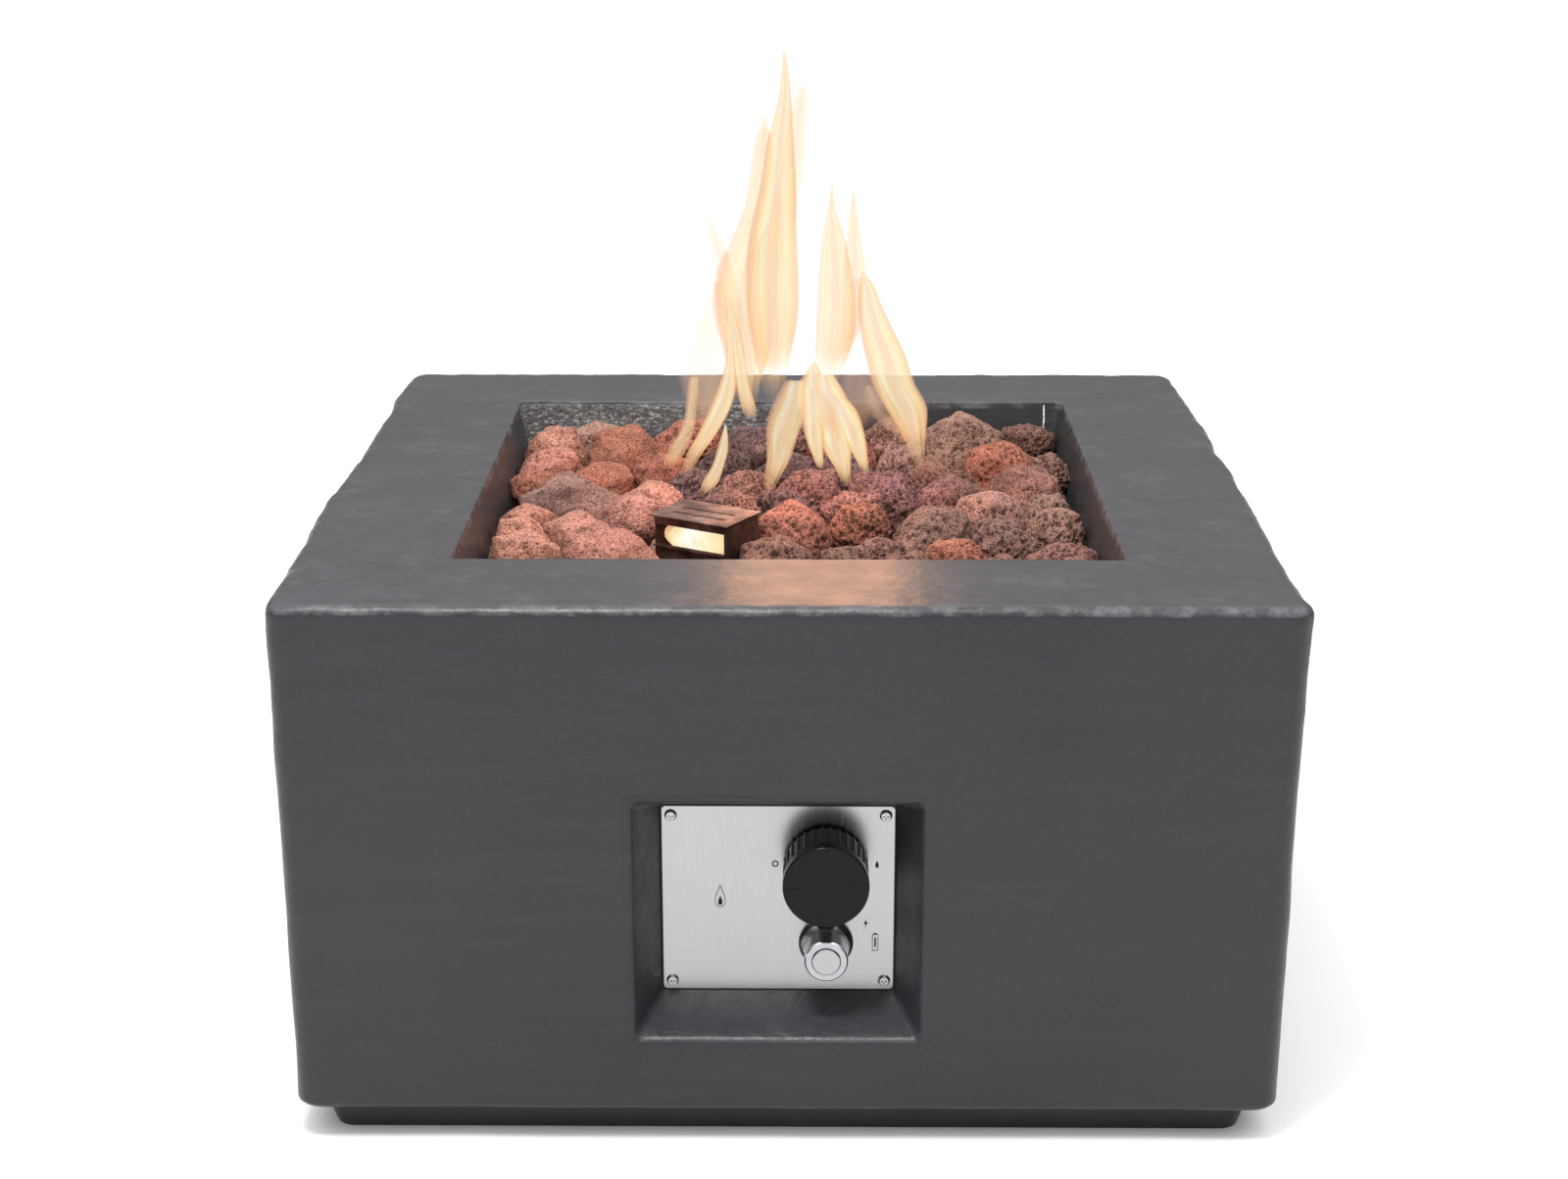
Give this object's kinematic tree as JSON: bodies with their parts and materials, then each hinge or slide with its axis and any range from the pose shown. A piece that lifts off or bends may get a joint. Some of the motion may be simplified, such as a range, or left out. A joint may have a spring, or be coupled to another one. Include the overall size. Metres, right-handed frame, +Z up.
{
  "type": "gas fire pit",
  "caption": "Square stone gas fire pit with lava rocks over a ring burner, a ribbed control knob and a push igniter in a front pocket.",
  "frame": {"origin": "middle of the base, on the surface it stands on", "axes": "+Z up, the controls face -Y, +X to the right as seen from the front"},
  "size_m": [0.7108, 0.7108, 0.406],
  "materials": {
    "stone_paint": "painted, satin, slightly hewn",
    "lava": "porous, matt",
    "tray_steel": "mill finish",
    "heated_steel": "heat tinted",
    "panel_steel": "fine brushed",
    "zinc_steel": "zinc plated",
    "chrome_trim": "mirror",
    "knob_black": "gloss",
    "black_plastic": "matt",
    "brass": "machined",
    "cast_aluminium": "die cast",
    "white_ceramic": "glazed at the tip",
    "hose_rubber": "smooth",
    "battery_wrap": "printed sleeve"
  },
  "bodies": {
    "root": {"stone_shell": "stone_paint", "burner_pan": "tray_steel", "pan_screws": "zinc_steel", "burner_ring": "heated_steel", "burner_hub": "heated_steel", "burner_supports": "tray_steel", "air_mixer": "tray_steel", "gas_orifice": "brass", "flame_shield": "heated_steel", "shield_screws": "zinc_steel", "ignition_bracket": "tray_steel", "electrode_insulator": "white_ceramic", "electrode_rod": "zinc_steel", "thermocouple_tip": "zinc_steel", "thermocouple_lead": "brass", "spark_lead": "hose_rubber", "flexible_gas_hose": "hose_rubber", "control_panel": "panel_steel", "panel_screws": "zinc_steel", "valve_screws": "zinc_steel", "valve_body": "cast_aluminium", "stem_spring": "zinc_steel", "magnet_unit": "brass", "valve_outlet": "brass", "inlet_elbow": "brass", "igniter_body": "black_plastic", "igniter_nut": "black_plastic", "igniter_collar": "chrome_trim", "igniter_battery": "battery_wrap", "spark_module": "black_plastic", "lava_rocks_row_1": "lava", "lava_rocks_row_2": "lava", "lava_rocks_row_3": "lava", "lava_rocks_row_4": "lava", "lava_rocks_row_5": "lava", "lava_rocks_row_6": "lava", "lava_rocks_row_7": "lava", "lava_rocks_fill_front": "lava", "lava_rocks_fill_back": "lava"},
    "valve_push": {"push_rod": "zinc_steel"},
    "knob": {"control_knob": "knob_black", "valve_stem": "zinc_steel"},
    "valve_turn": {"valve_plug": "brass"},
    "battery_cap": {"igniter_cap": "chrome_trim", "battery_spring": "zinc_steel"},
    "igniter_push": {"igniter_button": "panel_steel"}
  },
  "joints": [
    {"name": "knob_press", "type": "slide", "parent": "root", "child": "valve_push", "axis": [0, 1, 0], "range_m": [0, 0.004], "stiffness_N_per_m": 2000, "deforming": ["stem_spring"]},
    {"name": "knob_turn", "type": "hinge", "parent": "valve_push", "child": "knob", "pos_m": [0.0275, -0.32, 0.199], "axis": [0, -1, 0], "range_deg": [0, 180]},
    {"name": "plug_turn", "type": "hinge", "parent": "root", "child": "valve_turn", "pos_m": [0.0275, -0.28, 0.199], "axis": [0, -1, 0], "range_deg": [0, 180]},
    {"name": "cap_remove", "type": "slide", "parent": "root", "child": "battery_cap", "axis": [0, -1, 0], "range_m": [0, 0.045]},
    {"name": "igniter_press", "type": "slide", "parent": "battery_cap", "child": "igniter_push", "axis": [0, 1, 0], "range_m": [0, 0.004], "stiffness_N_per_m": 1500, "deforming": ["battery_spring"]}
  ],
  "couplings": [
    {"joint": "plug_turn", "follows": "knob_turn", "ratio": 1}
  ]
}
